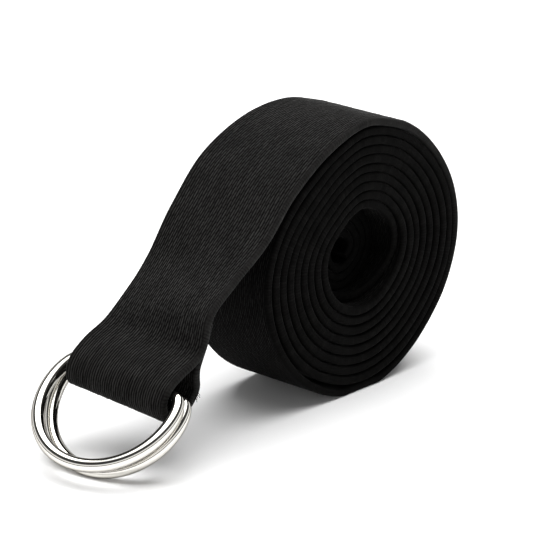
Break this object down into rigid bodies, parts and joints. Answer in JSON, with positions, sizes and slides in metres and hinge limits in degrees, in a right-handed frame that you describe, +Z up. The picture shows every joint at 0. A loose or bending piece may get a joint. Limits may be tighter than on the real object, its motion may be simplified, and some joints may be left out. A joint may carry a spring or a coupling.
{
  "type": "stretching strap",
  "caption": "Rolled cotton webbing strap for stretching, with a lead that slopes down to its sewn end loop and a pair of loose D-rings that work as its cinch buckle.",
  "frame": {"origin": "centre of the bounding box's footprint, on the floor that the roll and the lower ring rest on", "axes": "+Z up; +X from the rings towards the roll, along the object's length; Y along the roll's axis, with the roll's hollow on the -Y side, where its core is recessed"},
  "size_m": [0.1764, 0.059, 0.0968],
  "materials": {
    "black_webbing": "matt woven cotton with a fine diagonal rib",
    "polished_steel": "polished, nickel-plated",
    "black_thread": "spun polyester sewing thread with a slight sheen"
  },
  "bodies": {
    "roll": {"strap_outer_turn": "black_webbing", "strap_wound_turns": "black_webbing", "strap_core_turns": "black_webbing"},
    "lead": {"strap_lead": "black_webbing"},
    "ring_end": {"strap_ring_loop": "black_webbing", "strap_sewn_end": "black_webbing", "stitch_row_1": "black_thread", "stitch_row_2": "black_thread"},
    "upper_ring": {"ring_upper": "polished_steel"},
    "lower_ring": {"ring_lower": "polished_steel"}
  },
  "joints": [
    {"name": "lead_lift", "type": "hinge", "parent": "roll", "child": "lead", "pos_m": [0.03936, 0.00075, 0.09585], "axis": [-0.0007, 0.9991, 0.0419], "range_deg": [0, 50], "stiffness_Nm_per_rad": 0.3},
    {"name": "end_flex", "type": "hinge", "parent": "lead", "child": "ring_end", "pos_m": [-0.03904, -0.0045, 0.04972], "axis": [0.0126, 0.9999, -0.0044], "range_deg": [-25, 40], "stiffness_Nm_per_rad": 0.3},
    {"name": "upper_ring_swing", "type": "hinge", "parent": "ring_end", "child": "upper_ring", "pos_m": [-0.05879, -0.0035, 0.02705], "axis": [-0.0812, 0.9903, 0.113], "range_deg": [0, 110]},
    {"name": "lower_ring_swing", "type": "hinge", "parent": "ring_end", "child": "lower_ring", "pos_m": [-0.05395, -0.0029, 0.02528], "axis": [-0.0198, 0.9848, 0.1723], "range_deg": [-90, 0]}
  ]
}
